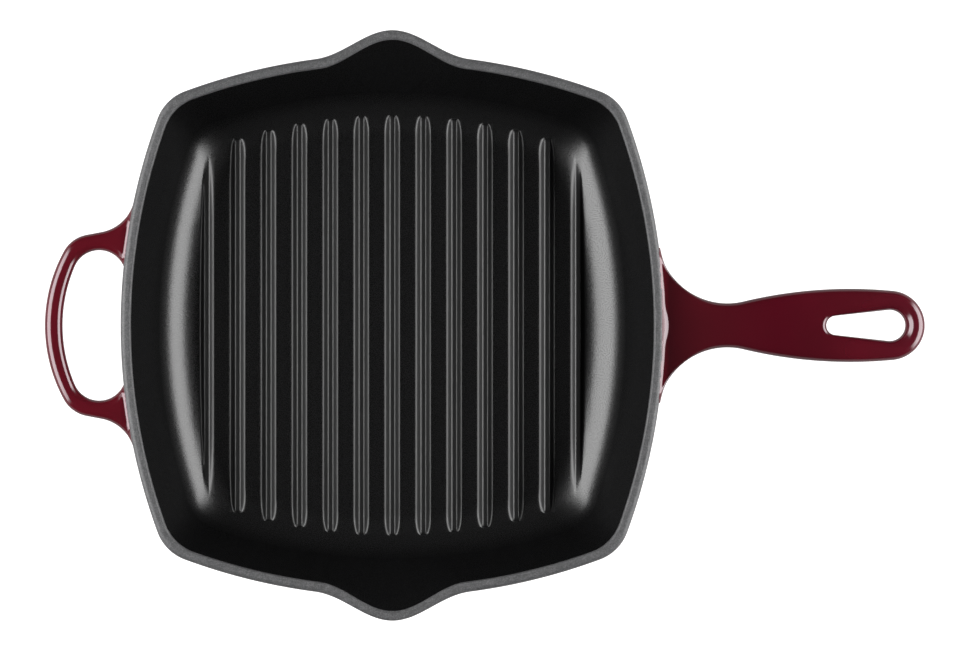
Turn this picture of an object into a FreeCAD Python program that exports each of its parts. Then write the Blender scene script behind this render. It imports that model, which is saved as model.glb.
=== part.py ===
import FreeCAD, Part
import math
import os

# Square enamelled grill pan: one iron casting under fired coats of enamel.
# The origin is the middle of the base face, +X runs out to the long handle and +Z is up.
# Lengths are in millimetres and angles in degrees.

# Pan body: four bowed sides with rounded corners, and walls that lean outwards
PAN_WIDTH = 266.0
PAN_DEPTH = 265.6
PAN_HEIGHT = 45.0
SIDE_BOW_RADIUS = 293.0
CORNER_RADIUS = 22.6
WALL_THICKNESS = 5.5
WALL_LEAN = 25.0
FLOOR_THICKNESS = 5.5
FLOOR_FILLET_RADIUS = 26.0
BASE_FILLET_RADIUS = 31.0
RIM_OUTER_RADIUS = 2.5
RIM_INNER_RADIUS = 1.0

# Spouts: a raised-cosine bulge in the middle of the front and back sides
SPOUT_REACH = 12.8
SPOUT_HALF_WIDTH = 38.0
SPOUT_DEPTH = 26.5
SPOUT_EASE = 1.4
SPOUT_TAPER_SHARE = 0.36

# Ribs: straight bars along Y with leaning flanks
RIB_COUNT = 13
RIB_PITCH = 15.5
RIB_HEIGHT = 2.8
RIB_TOP_WIDTH = 2.5
RIB_FOOT_WIDTH = 6.8
RIB_EDGE_RADIUS = 0.8

# Enamel: one thickness everywhere, and how far the rim's bare ground coat comes down
ENAMEL_THICKNESS = 0.4
RIM_COAT_DROP = 1.1

# Long handle: a waisted bar with a round end, measured out from the rim
LONG_HANDLE_LENGTH = 126.7
LONG_HANDLE_THICKNESS = 12.0
LONG_HANDLE_DROP = 3.6
LONG_HANDLE_RISE = 5.0
LONG_HANDLE_EDGE_RADIUS = 4.5
NECK_REACH = 31.0
NECK_WIDTH = 21.6
NECK_RADIUS = 34.2
NECK_FLARE = 60.0
GRIP_REACH = 90.4
GRIP_WIDTH = 35.8

# Hanging eye: a teardrop through the end of the long handle
EYE_LENGTH = 38.5
EYE_END_WALL = 9.2
EYE_END_RADIUS = 7.6
EYE_POINT_RADIUS = 4.7
EYE_EDGE_RADIUS = 4.4

# Helper loop: a bowed bar on two arms, measured out from the rim
LOOP_REACH = 37.0
LOOP_THICKNESS = 9.0
LOOP_DROP = 3.0
LOOP_RISE = 5.0
LOOP_EDGE_RADIUS = 3.8
LOOP_BOW_RADIUS = 76.0
LOOP_SHOULDER_RADIUS = 16.0
LOOP_ARM_REACH = 10.0
LOOP_ARM_SPREAD = 45.7
LOOP_ARM_SPLAY = 11.0
LOOP_FLARE_RADIUS = 20.0
LOOP_FLARE = 60.0
LOOP_FLARE_REACH = 9.2
LOOP_BAR_WIDTH = 8.6
LOOP_ARM_WIDTH = 8.8
LOOP_LOBE_RADIUS = 13.0
LOOP_LOBE_INSET = 17.9
LOOP_GAP_ROOT_WIDTH = 20.0

# Largest edge rounding, as a share of the thickness or land that carries it
EDGE_LIMIT_SHARE = 0.45
EYE_EDGE_LIMIT_SHARE = 0.48

# Length by which a cutting solid runs past what it cuts
OVERRUN = 10.0

# Spans that carry a spout's curve, and levels that carry each stretch of wall
SPOUT_STEPS = 8
FILLET_STEPS = 5
WALL_STEPS = 3
RIM_STEPS = 3

LEAN = math.radians(WALL_LEAN)
RIM_OUTER_EDGE = RIM_OUTER_RADIUS * (1 - math.cos(LEAN) - (1 + math.sin(LEAN)) * math.tan(LEAN))
RIM_INNER_EDGE = RIM_OUTER_EDGE + WALL_THICKNESS / math.cos(LEAN)


def polar(centre, radius, angle):
    """Point on a circle in plan, with the angle in radians."""
    return (centre[0] + radius * math.cos(angle), centre[1] + radius * math.sin(angle))


def steps(first, last, count):
    """Evenly spaced values from first to last, count spans apart."""
    return [first + (last - first) * i / count for i in range(count + 1)]


def spout_bulge(x, inset, z):
    """How far the spout pushes the side out at x: full at the rim, nothing below the spout's depth."""
    half_width = SPOUT_HALF_WIDTH - SPOUT_TAPER_SHARE * inset
    height_share = max(0.0, (z - PAN_HEIGHT + SPOUT_DEPTH) / SPOUT_DEPTH)
    across = (1 + math.cos(math.pi * min(1.0, abs(x) / half_width))) / 2
    return SPOUT_REACH * height_share ** SPOUT_EASE * across


def arc(centre, radius, first, last, z=0.0):
    """Level edge of a circle between two angles, in the order given."""
    ends = [polar(centre, radius, a) for a in steps(first, last, 2)]
    return Part.Arc(*[FreeCAD.Vector(x, y, z) for x, y in ends]).toShape()


def plan_wire(inset, z):
    """Closed wire round the pan at one level, set in from its widest outline."""
    bow = SIDE_BOW_RADIUS - inset
    side_x = PAN_WIDTH / 2 - inset - bow
    back_y = PAN_DEPTH / 2 - inset - bow
    # The corner circle touches both side circles from inside
    span = math.hypot(side_x, back_y)
    lift = math.sqrt((bow - CORNER_RADIUS) ** 2 - (span / 2) ** 2)
    corner_x = side_x / 2 - lift * back_y / span
    corner_y = back_y / 2 - lift * side_x / span
    side_turn = math.atan2(corner_y, corner_x - side_x)
    back_turn = math.atan2(corner_y - back_y, corner_x)
    spout_edge = SPOUT_HALF_WIDTH - SPOUT_TAPER_SHARE * inset
    spout_turn = math.acos(spout_edge / bow)
    spout_points = [(x, back_y + math.sqrt(bow ** 2 - x ** 2) + spout_bulge(x, inset, z))
                    for x in steps(spout_edge, -spout_edge, SPOUT_STEPS)]
    edges = []
    # One half of the outline from the right side to the left corner, then its half turn
    for sign, turn in ((1, 0.0), (-1, math.pi)):
        spout = Part.BSplineCurve()
        spout.interpolate(
            Points=[FreeCAD.Vector(sign * x, sign * y, z) for x, y in spout_points],
            InitialTangent=FreeCAD.Vector(*polar((0.0, 0.0), bow, turn + spout_turn + math.pi / 2), 0.0),
            FinalTangent=FreeCAD.Vector(*polar((0.0, 0.0), bow, turn - spout_turn - math.pi / 2), 0.0))
        edges += [
            arc((sign * side_x, 0.0), bow, turn - side_turn, turn + side_turn, z),
            arc((sign * corner_x, sign * corner_y), CORNER_RADIUS, turn + side_turn, turn + back_turn, z),
            arc((0.0, sign * back_y), bow, turn + back_turn, turn + spout_turn, z),
            spout.toShape(),
            arc((0.0, sign * back_y), bow, turn + math.pi - spout_turn, turn + math.pi - back_turn, z),
            arc((-sign * corner_x, sign * corner_y), CORNER_RADIUS,
                turn + math.pi - back_turn, turn + math.pi - side_turn, z),
        ]
    return Part.Wire(edges)


def lofted_solid(stretches):
    """Closed solid through stretches of levels, each stretch smooth in itself, with flat ends."""
    faces = [Part.Face(plan_wire(*stretches[0][0])), Part.Face(plan_wire(*stretches[-1][-1]))]
    for levels in stretches:
        faces += Part.makeLoft([plan_wire(inset, z) for inset, z in levels], False, False).Faces
    shell = Part.Shell(faces)
    shell.sewShape()
    solid = Part.Solid(Part.Shell(shell.Faces))
    solid.fix(Part.Precision.confusion(), Part.Precision.confusion(), Part.Precision.confusion())
    return solid


def straight_levels(first, last):
    """Levels of a straight stretch of wall between two insets and heights."""
    return list(zip(steps(first[0], last[0], WALL_STEPS), steps(first[1], last[1], WALL_STEPS)))


def outer_body(coat):
    """The pan's outside as a full block, with a thickness of coat taken off all round."""
    fillet_inset = BASE_FILLET_RADIUS * math.cos(LEAN) + RIM_OUTER_EDGE
    fillet_inset += (PAN_HEIGHT - BASE_FILLET_RADIUS * (1 - math.sin(LEAN))) * math.tan(LEAN)
    fillet_radius = BASE_FILLET_RADIUS - coat
    fillet = [(fillet_inset - fillet_radius * math.sin(a), BASE_FILLET_RADIUS - fillet_radius * math.cos(a))
              for a in steps(0.0, math.pi / 2 - LEAN, FILLET_STEPS)]
    edge_radius = RIM_OUTER_RADIUS - coat
    edge_height = PAN_HEIGHT - RIM_OUTER_RADIUS
    edge = [(RIM_OUTER_RADIUS + edge_radius * math.cos(a), edge_height + edge_radius * math.sin(a))
            for a in steps(math.pi + LEAN, math.pi / 2, RIM_STEPS)]
    return lofted_solid([fillet, straight_levels(fillet[-1], edge[0]), edge])


def cavity(coat):
    """The space inside the pan as a full block, with a thickness of coat added all round."""
    wall_fall = PAN_HEIGHT - FLOOR_THICKNESS - FLOOR_FILLET_RADIUS * (1 - math.sin(LEAN))
    fillet_inset = FLOOR_FILLET_RADIUS * math.cos(LEAN) + RIM_INNER_EDGE + wall_fall * math.tan(LEAN)
    fillet_radius = FLOOR_FILLET_RADIUS + coat
    fillet_height = FLOOR_THICKNESS + FLOOR_FILLET_RADIUS
    fillet = [(fillet_inset - fillet_radius * math.sin(a), fillet_height - fillet_radius * math.cos(a))
              for a in steps(0.0, math.pi / 2 - LEAN, FILLET_STEPS)]
    edge_radius = RIM_INNER_RADIUS - coat
    edge_height = PAN_HEIGHT - RIM_INNER_RADIUS
    edge_inset = RIM_INNER_EDGE + RIM_INNER_RADIUS * ((1 - math.sin(LEAN)) * math.tan(LEAN) - math.cos(LEAN))
    edge = [(edge_inset + edge_radius * math.cos(a), edge_height + edge_radius * math.sin(a))
            for a in steps(LEAN, math.pi / 2, RIM_STEPS)]
    return lofted_solid([fillet, straight_levels(fillet[-1], edge[0]), edge])


def rib(x, coat):
    """One rib along Y with its top edges rounded, and a thickness of coat taken off its sides and top."""
    flank = math.atan2(RIB_FOOT_WIDTH - RIB_TOP_WIDTH, 2 * RIB_HEIGHT)
    top = FLOOR_THICKNESS + RIB_HEIGHT - coat
    foot = FLOOR_THICKNESS / 2
    half_top = RIB_TOP_WIDTH / 2 + coat * math.tan(flank) - coat / math.cos(flank)
    half_foot = half_top + (top - foot) * math.tan(flank)
    half_length = PAN_DEPTH / 2
    corners = [(x - half_foot, foot), (x + half_foot, foot), (x + half_top, top), (x - half_top, top)]
    section = Part.makePolygon([FreeCAD.Vector(cx, -half_length, cz) for cx, cz in corners + corners[:1]])
    bar = Part.Face(section).extrude(FreeCAD.Vector(0, PAN_DEPTH, 0))
    long_edges = [e for e in bar.Edges if e.BoundBox.YLength > half_length]
    top_edges = [e for e in long_edges if e.CenterOfMass.z > FLOOR_THICKNESS]
    return bar.makeFillet(RIB_EDGE_RADIUS - coat, top_edges)


def ribs(coat):
    """All the ribs, evenly spaced about the middle of the pan."""
    return [rib((i - (RIB_COUNT - 1) / 2) * RIB_PITCH, coat) for i in range(RIB_COUNT)]


def line(first, last):
    """Straight edge in plan."""
    return Part.makeLine(FreeCAD.Vector(first[0], first[1], 0), FreeCAD.Vector(last[0], last[1], 0))


def mirrored(edges):
    """The edges, with their mirror images across the handle's middle line."""
    flip = FreeCAD.Matrix()
    flip.scale(1, -1, 1)
    return edges + [e.transformGeometry(flip) for e in edges]


def plate(edges, thickness):
    """Plate under the plan made by the edges, with its top face at height zero."""
    wire = Part.Wire(Part.__sortEdges__(edges))
    return Part.Face(wire).extrude(FreeCAD.Vector(0, 0, -thickness))


def rounded(solid, radius, root):
    """The solid with the edges of its two flat faces rounded, except those in the root plane."""
    level = [e for e in solid.Edges if e.BoundBox.ZLength < radius]
    return solid.makeFillet(radius, [e for e in level if e.CenterOfMass.x > radius - root])


def root_depth(drop, thickness):
    """How far in from the rim a handle's root reaches, to lie inside the leaning wall at its underside."""
    return (drop + thickness) * math.tan(LEAN) + WALL_THICKNESS


def long_handle_radii():
    """Radii of the grip's bow, which touches the neck's arc, and of the round end, which touches the bow."""
    grip = GRIP_WIDTH / 2
    neck = NECK_WIDTH / 2
    reach = GRIP_REACH - NECK_REACH
    tail = LONG_HANDLE_LENGTH - GRIP_REACH
    bow = (reach ** 2 + (NECK_RADIUS + neck - grip) ** 2 - NECK_RADIUS ** 2) / (2 * (grip - neck))
    end = (bow ** 2 - tail ** 2 - (bow - grip) ** 2) / (2 * (bow - tail))
    return bow, end


def long_handle_plan(coat, root):
    """Outline of the long handle: round end, bowed grip, waisted neck and flared root."""
    bow, end_radius = long_handle_radii()
    neck = NECK_WIDTH / 2
    bow_centre = (GRIP_REACH, GRIP_WIDTH / 2 - bow)
    neck_centre = (NECK_REACH, neck + NECK_RADIUS)
    end_centre = (LONG_HANDLE_LENGTH - end_radius, 0.0)
    # Where the arcs meet, each on the line through two centres
    end_turn = math.atan2(-bow_centre[1], end_centre[0] - bow_centre[0])
    neck_turn = math.atan2(neck_centre[1] - bow_centre[1], neck_centre[0] - bow_centre[0])
    flare_turn = -math.pi / 2 - math.radians(NECK_FLARE)
    flare_end = polar(neck_centre, NECK_RADIUS + coat, flare_turn)
    root_corner = (-root, flare_end[1])
    half = [
        arc(end_centre, end_radius - coat, 0.0, end_turn),
        arc(bow_centre, bow - coat, end_turn, neck_turn),
        arc(neck_centre, NECK_RADIUS + coat, neck_turn - math.pi, flare_turn),
        line(flare_end, root_corner),
    ]
    return mirrored(half) + [line(root_corner, (-root, -flare_end[1]))]


def hanging_eye_plan(coat):
    """Outline of the teardrop eye: two round ends joined by straight flanks."""
    end_x = LONG_HANDLE_LENGTH - EYE_END_WALL - EYE_END_RADIUS
    point_x = LONG_HANDLE_LENGTH - EYE_END_WALL - EYE_LENGTH + EYE_POINT_RADIUS
    flank = math.acos((EYE_POINT_RADIUS - EYE_END_RADIUS) / (end_x - point_x))
    end_radius = EYE_END_RADIUS + coat
    point_radius = EYE_POINT_RADIUS + coat
    half = [
        arc((end_x, 0.0), end_radius, 0.0, flank),
        line(polar((end_x, 0.0), end_radius, flank), polar((point_x, 0.0), point_radius, flank)),
        arc((point_x, 0.0), point_radius, flank, math.pi),
    ]
    return mirrored(half)


def placed(handle, drop, rise, turn):
    """The handle tipped up about its root, dropped below the rim and turned to its side of the pan."""
    handle.rotate(FreeCAD.Vector(0, 0, 0), FreeCAD.Vector(0, 1, 0), -rise)
    handle.translate(FreeCAD.Vector(PAN_WIDTH / 2, 0, PAN_HEIGHT - drop))
    handle.rotate(FreeCAD.Vector(0, 0, 0), FreeCAD.Vector(0, 0, 1), turn)
    return handle


def long_handle(coat):
    """The long handle with its eye, with a thickness of coat taken off all round."""
    root = root_depth(LONG_HANDLE_DROP, LONG_HANDLE_THICKNESS)
    thickness = LONG_HANDLE_THICKNESS - 2 * coat
    # The land between the eye and the outline carries both roundings
    land = min(EYE_END_WALL, long_handle_radii()[1] - EYE_END_RADIUS)
    edge = min(LONG_HANDLE_EDGE_RADIUS, EDGE_LIMIT_SHARE * LONG_HANDLE_THICKNESS, land / 2)
    eye_edge = min(EYE_EDGE_RADIUS, EYE_EDGE_LIMIT_SHARE * land)
    bar = rounded(plate(long_handle_plan(coat, root), thickness), edge - coat, root)
    eye = plate(hanging_eye_plan(coat), thickness)
    eyed = bar.cut(eye)
    eye_edges = [e for e in eyed.Edges
                 if e.BoundBox.ZLength < eye_edge and eye.BoundBox.isInside(e.CenterOfMass)]
    handle = eyed.makeFillet(eye_edge - coat, eye_edges)
    handle.translate(FreeCAD.Vector(0, 0, -coat))
    return placed(handle, LONG_HANDLE_DROP, LONG_HANDLE_RISE, 0.0)


def loop_plan(coat, root):
    """Outer outline of the helper loop: bowed bar, round shoulders, splayed arms and flared roots."""
    splay = math.radians(LOOP_ARM_SPLAY)
    bow_centre = (LOOP_REACH - LOOP_BOW_RADIUS, 0.0)
    # The shoulder circle touches the arm's line and, from inside, the bar's bow
    normal = math.pi / 2 - splay
    arm = (LOOP_ARM_REACH, LOOP_ARM_SPREAD)
    offset = (arm[0] - bow_centre[0]) * math.cos(normal) + arm[1] * math.sin(normal)
    offset -= LOOP_SHOULDER_RADIUS
    along = math.sqrt((LOOP_BOW_RADIUS - LOOP_SHOULDER_RADIUS) ** 2 - offset ** 2)
    shoulder = polar(polar(bow_centre, offset, normal), along, normal - math.pi / 2)
    bow_turn = math.atan2(shoulder[1], shoulder[0] - bow_centre[0])
    shoulder_end = polar(shoulder, LOOP_SHOULDER_RADIUS - coat, normal)
    # The flare circle touches the arm's line from outside
    run = (LOOP_ARM_REACH - LOOP_FLARE_REACH) / math.cos(splay)
    flare_start = polar(arm, run, normal + math.pi / 2)
    flare_centre = polar(flare_start, LOOP_FLARE_RADIUS, normal)
    flare_turn = -math.pi / 2 - math.radians(LOOP_FLARE)
    flare_end = polar(flare_centre, LOOP_FLARE_RADIUS + coat, flare_turn)
    root_corner = (-root, flare_end[1])
    half = [
        arc(bow_centre, LOOP_BOW_RADIUS - coat, 0.0, bow_turn),
        arc(shoulder, LOOP_SHOULDER_RADIUS - coat, bow_turn, normal),
        line(shoulder_end, polar(flare_centre, LOOP_FLARE_RADIUS + coat, normal - math.pi)),
        arc(flare_centre, LOOP_FLARE_RADIUS + coat, normal - math.pi, flare_turn),
        line(flare_end, root_corner),
    ]
    return mirrored(half) + [line(root_corner, (-root, -flare_end[1]))]


def loop_hole_plan(coat, root):
    """Outline of the gap in the helper loop: inner bow, two round lobes and flanks into the wall."""
    apex = LOOP_REACH - LOOP_BAR_WIDTH
    lobe_centre = (apex - LOOP_LOBE_INSET, LOOP_ARM_SPREAD - LOOP_ARM_WIDTH - LOOP_LOBE_RADIUS)
    lobe_radius = LOOP_LOBE_RADIUS + coat
    # The inner bow touches both lobes from outside
    bow_radius = LOOP_LOBE_INSET ** 2 + lobe_centre[1] ** 2 - LOOP_LOBE_RADIUS ** 2
    bow_radius /= 2 * (LOOP_LOBE_INSET - LOOP_LOBE_RADIUS)
    bow_centre = (apex - bow_radius, 0.0)
    lobe_turn = math.atan2(lobe_centre[1], lobe_centre[0] - bow_centre[0])
    # The flank leaves the lobe where it touches it and runs to the edge of the gap in the root plane
    to_root = (-root - lobe_centre[0], LOOP_GAP_ROOT_WIDTH / 2 - lobe_centre[1])
    wrap_turn = math.atan2(to_root[1], to_root[0]) % math.tau
    wrap_turn -= math.acos(LOOP_LOBE_RADIUS / math.hypot(*to_root))
    flank_start = polar(lobe_centre, lobe_radius, wrap_turn)
    flank_fall = (flank_start[0] + root) * math.tan(wrap_turn - math.pi / 2)
    flank_end = (-root, flank_start[1] - flank_fall)
    half = [
        arc(bow_centre, bow_radius + coat, 0.0, lobe_turn),
        arc(lobe_centre, lobe_radius, lobe_turn, wrap_turn),
        line(flank_start, flank_end),
    ]
    return mirrored(half) + [line(flank_end, (-root, -flank_end[1]))]


def helper_loop(coat):
    """The helper loop, with a thickness of coat taken off all round."""
    root = root_depth(LOOP_DROP, LOOP_THICKNESS)
    thickness = LOOP_THICKNESS - 2 * coat
    solid = plate(loop_plan(coat, root), thickness).cut(plate(loop_hole_plan(coat, root), thickness))
    slimmest = min(LOOP_THICKNESS, LOOP_BAR_WIDTH, LOOP_ARM_WIDTH)
    handle = rounded(solid, min(LOOP_EDGE_RADIUS, EDGE_LIMIT_SHARE * slimmest) - coat, root)
    handle.translate(FreeCAD.Vector(0, 0, -coat))
    return placed(handle, LOOP_DROP, LOOP_RISE, 180.0)


def slab(bottom, top):
    """Block over the whole plan of the pan between two heights."""
    width = PAN_WIDTH + 2 * OVERRUN
    depth = PAN_DEPTH + 2 * (SPOUT_REACH + OVERRUN)
    return Part.makeBox(width, depth, top - bottom, FreeCAD.Vector(-width / 2, -depth / 2, bottom))


def save(node, shape):
    """Write one node's solid to its own file."""
    solid = shape.Solids[0]
    print(node, "solids", len(shape.Solids), "valid", solid.isValid(), "volume", round(solid.Volume, 1))
    solid.exportStep("parts/" + node + ".step")


os.makedirs("parts", exist_ok=True)

body_enamelled = outer_body(0.0)
body_iron = outer_body(ENAMEL_THICKNESS)
space_enamelled = cavity(0.0)
space_iron = cavity(ENAMEL_THICKNESS)
long_enamelled = long_handle(0.0)
long_iron = long_handle(ENAMEL_THICKNESS)
loop_enamelled = helper_loop(0.0)
loop_iron = helper_loop(ENAMEL_THICKNESS)

# The coats meet at the rim line and where the base face turns up into the walls
rim_line = PAN_HEIGHT - RIM_COAT_DROP
under_base = slab(-OVERRUN, ENAMEL_THICKNESS)
between = slab(ENAMEL_THICKNESS, rim_line)
above_rim_line = slab(rim_line, PAN_HEIGHT + OVERRUN)

ribbed_enamelled = space_enamelled.cut(ribs(0.0))
ribbed_iron = space_iron.cut(ribs(ENAMEL_THICKNESS))
rim_block = body_enamelled.common(above_rim_line).cut(space_enamelled)
iron_lip = body_iron.common(above_rim_line).cut(space_iron)

save("iron_casting", body_iron.fuse([long_iron, loop_iron]).cut(ribbed_iron))
save("rim_enamel", rim_block.cut(iron_lip))
save("interior_enamel", ribbed_iron.common(between).cut(ribbed_enamelled))
save("wall_enamel", body_enamelled.common(between).cut([body_iron, long_iron, loop_iron]))
save("base_enamel", body_enamelled.common(under_base))
save("long_handle_enamel", long_enamelled.cut([long_iron, body_enamelled]))
save("helper_handle_enamel", loop_enamelled.cut([loop_iron, body_enamelled]))
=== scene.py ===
import math

import bpy
import numpy as np
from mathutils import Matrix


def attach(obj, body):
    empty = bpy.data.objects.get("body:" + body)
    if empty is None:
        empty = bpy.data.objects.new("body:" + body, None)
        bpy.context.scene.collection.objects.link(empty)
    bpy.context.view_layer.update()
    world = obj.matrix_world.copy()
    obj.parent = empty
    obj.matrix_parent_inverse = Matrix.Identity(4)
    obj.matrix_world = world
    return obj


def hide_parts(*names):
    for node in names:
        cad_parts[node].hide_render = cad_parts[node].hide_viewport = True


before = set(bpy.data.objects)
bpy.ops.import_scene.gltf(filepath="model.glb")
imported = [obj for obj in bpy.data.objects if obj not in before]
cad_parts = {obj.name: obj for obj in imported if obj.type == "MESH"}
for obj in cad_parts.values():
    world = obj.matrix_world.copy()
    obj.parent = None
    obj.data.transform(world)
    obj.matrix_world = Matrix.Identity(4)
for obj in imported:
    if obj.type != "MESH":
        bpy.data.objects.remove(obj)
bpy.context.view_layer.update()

# Iron casting: floor, ribs, walls, spouts and both handles, poured as one piece in a sand mould.
# Its skin is left rough as cast, and every face of it lies under a fired coat.


def new_material(name):
    """A node material, with its tree and its main shader."""
    material = bpy.data.materials.new(name)
    material.use_nodes = True
    tree = material.node_tree
    return material, tree, tree.nodes["Principled BSDF"]


def grain(tree, scale, detail, roughness=0.5):
    """Noise that sits still on the piece: its size is set in waves per metre."""
    place = tree.nodes.new("ShaderNodeTexCoord")
    noise = tree.nodes.new("ShaderNodeTexNoise")
    noise.inputs["Scale"].default_value = scale
    noise.inputs["Detail"].default_value = detail
    noise.inputs["Roughness"].default_value = roughness
    tree.links.new(place.outputs["Object"], noise.inputs["Vector"])
    return noise.outputs["Fac"]


def spread(tree, value, low, high, first, last):
    """Stretch a value from low..high to first..last, and hold it within those ends."""
    stretch = tree.nodes.new("ShaderNodeMapRange")
    stretch.inputs["From Min"].default_value = low
    stretch.inputs["From Max"].default_value = high
    stretch.inputs["To Min"].default_value = first
    stretch.inputs["To Max"].default_value = last
    tree.links.new(value, stretch.inputs["Value"])
    return stretch.outputs["Result"]


def tint(tree, value, stops):
    """Colour along a ramp of (position, colour) stops."""
    ramp = tree.nodes.new("ShaderNodeValToRGB")
    while len(ramp.color_ramp.elements) < len(stops):
        ramp.color_ramp.elements.new(0.5)
    for element, (position, colour) in zip(ramp.color_ramp.elements, stops):
        element.position = position
        element.color = (*colour, 1.0)
    tree.links.new(value, ramp.inputs["Fac"])
    return ramp.outputs["Color"]


def relief(tree, value, depth, under=None):
    """Small relief of a given depth in metres, on top of another relief where there is one."""
    bump = tree.nodes.new("ShaderNodeBump")
    bump.inputs["Strength"].default_value = 1.0
    bump.inputs["Distance"].default_value = depth
    tree.links.new(value, bump.inputs["Height"])
    if under is not None:
        tree.links.new(under, bump.inputs["Normal"])
    return bump.outputs["Normal"]


cast_iron, tree, shader = new_material("cast_iron")
sand = grain(tree, 900.0, 4.0)
tree.links.new(tint(tree, sand, [(0.3, (0.035, 0.035, 0.038)), (0.7, (0.085, 0.083, 0.082))]),
               shader.inputs["Base Color"])
tree.links.new(spread(tree, sand, 0.3, 0.7, 0.55, 0.75), shader.inputs["Roughness"])
tree.links.new(relief(tree, sand, 0.0002), shader.inputs["Normal"])
shader.inputs["Metallic"].default_value = 0.6
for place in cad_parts["iron_casting"].material_slots:
    place.material = cast_iron

# Ground coat: a matt grey ring of glass left bare on the rim, where no colour was sprayed.
# It follows the rim's rounded outer edge, its narrow flat and its tighter inner edge.
MM = 0.001
PAN_WIDTH = 266.0
PAN_DEPTH = 265.6
PAN_HEIGHT = 45.0
SIDE_BOW = 293.0
CORNER = 22.6
LEAN = math.radians(25.0)
WALL_THICKNESS = 5.5
SPOUT_REACH = 12.8
SPOUT_HALF_WIDTH = 38.0
SPOUT_DEPTH = 26.5
SPOUT_EASE = 1.4
SPOUT_TAPER = 0.36
RIM_OUTER = 2.5
RIM_INNER = 1.0
RIM_LINE = 43.9
OUTER_LINE = 42.4
FLOOR = 5.5
FLOOR_FILLET = 26.0
BASE_FILLET = 31.0
COAT = 0.4
CREASE = math.radians(40.0)
CLOUD_SHARE = 0.25
SIDE_X = PAN_WIDTH / 2 - SIDE_BOW
BACK_Y = PAN_DEPTH / 2 - SIDE_BOW
OUTER_EDGE = RIM_OUTER * (1 - math.cos(LEAN) - (1 + math.sin(LEAN)) * math.tan(LEAN))
INNER_EDGE = OUTER_EDGE + WALL_THICKNESS / math.cos(LEAN)


def corner_of(inset):
    """Centre of the corner's circle at an inset, and the turns where it meets the two sides."""
    bow = SIDE_BOW - inset
    span = math.hypot(SIDE_X, BACK_Y)
    lift = np.sqrt((bow - CORNER) ** 2 - (span / 2) ** 2)
    x = SIDE_X / 2 - lift * BACK_Y / span
    y = BACK_Y / 2 - lift * SIDE_X / span
    return x, y, np.arctan2(y, x - SIDE_X), np.arctan2(y - BACK_Y, x)


def outline(legs, shares, inset, z):
    """Points round the pan at one level, each at a share of one leg of the outline.

    Legs 0 to 7 are side, corner, spout side and corner, and the same again half a turn on.
    """
    bow = SIDE_BOW - inset
    corner_x, corner_y, side_turn, back_turn = corner_of(inset)
    half = bow * math.cos(back_turn)
    leg = legs % 4
    side = side_turn * (2 * shares - 1)
    turn = side_turn + (back_turn - side_turn) * np.where(leg == 3, 1 - shares, shares)
    along = half * (1 - 2 * shares)
    spout_half = SPOUT_HALF_WIDTH - SPOUT_TAPER * inset
    rise = max(0.0, (z - PAN_HEIGHT + SPOUT_DEPTH) / SPOUT_DEPTH) ** SPOUT_EASE
    bulge = SPOUT_REACH * rise * (1 + np.cos(np.pi * np.minimum(1, np.abs(along) / spout_half))) / 2
    flip = np.where(leg == 3, -1.0, 1.0)
    x = np.select([leg == 0, leg == 2], [SIDE_X + bow * np.cos(side), along],
                  flip * (corner_x + CORNER * np.cos(turn)))
    spout_side = BACK_Y + np.sqrt(bow ** 2 - along ** 2) + bulge
    y = np.select([leg == 0, leg == 2], [bow * np.sin(side), spout_side],
                  corner_y + CORNER * np.sin(turn))
    sign = np.where(legs < 4, 1.0, -1.0)
    return np.stack([sign * x, sign * y, np.full(len(legs), z)], axis=1)


def outer_profile(coat, first, last):
    """Inset and height up the outside, from the base fillet to the rim, cut at two heights."""
    middle = BASE_FILLET * math.cos(LEAN) + OUTER_EDGE
    middle += (PAN_HEIGHT - BASE_FILLET * (1 - math.sin(LEAN))) * math.tan(LEAN)
    arc = np.linspace(0, math.pi / 2 - LEAN, 26)
    edge = np.linspace(math.pi + LEAN, math.pi / 2, 25)
    radius = BASE_FILLET - coat
    low = np.stack([middle - radius * np.sin(arc), BASE_FILLET - radius * np.cos(arc)], axis=1)
    radius = RIM_OUTER - coat
    edge_z = PAN_HEIGHT - RIM_OUTER
    high = np.stack([RIM_OUTER + radius * np.cos(edge), edge_z + radius * np.sin(edge)], axis=1)
    wall = low[-1] + (high[0] - low[-1]) * np.linspace(0, 1, 18)[1:-1, None]
    return cut(np.concatenate([low, wall, high]), first, last)


def inner_profile(coat, first, last):
    """Inset and height up the inside, from the floor fillet to the rim, cut at two heights."""
    fall = PAN_HEIGHT - FLOOR - FLOOR_FILLET * (1 - math.sin(LEAN))
    middle = FLOOR_FILLET * math.cos(LEAN) + INNER_EDGE + fall * math.tan(LEAN)
    arc = np.linspace(0, math.pi / 2 - LEAN, 44)
    edge = np.linspace(LEAN, math.pi / 2, 13)
    radius = FLOOR_FILLET + coat
    low = np.stack([middle - radius * np.sin(arc), FLOOR + FLOOR_FILLET - radius * np.cos(arc)], axis=1)
    radius = RIM_INNER - coat
    edge_x = INNER_EDGE + RIM_INNER * ((1 - math.sin(LEAN)) * math.tan(LEAN) - math.cos(LEAN))
    edge_z = PAN_HEIGHT - RIM_INNER
    high = np.stack([edge_x + radius * np.cos(edge), edge_z + radius * np.sin(edge)], axis=1)
    wall = low[-1] + (high[0] - low[-1]) * np.linspace(0, 1, 13)[1:-1, None]
    return cut(np.concatenate([low, wall, high]), first, last)


def cut(profile, first, last):
    """The stretch of a profile between two heights, with a point exactly at each."""
    least_gap = 0.02
    heights = profile[:, 1]
    kept = profile[(heights > first + least_gap) & (heights < last - least_gap)]
    ends = [(np.interp(z, heights, profile[:, 0]), z) for z in (first, last)]
    return np.concatenate([ends[:1], kept, ends[1:]])


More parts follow.
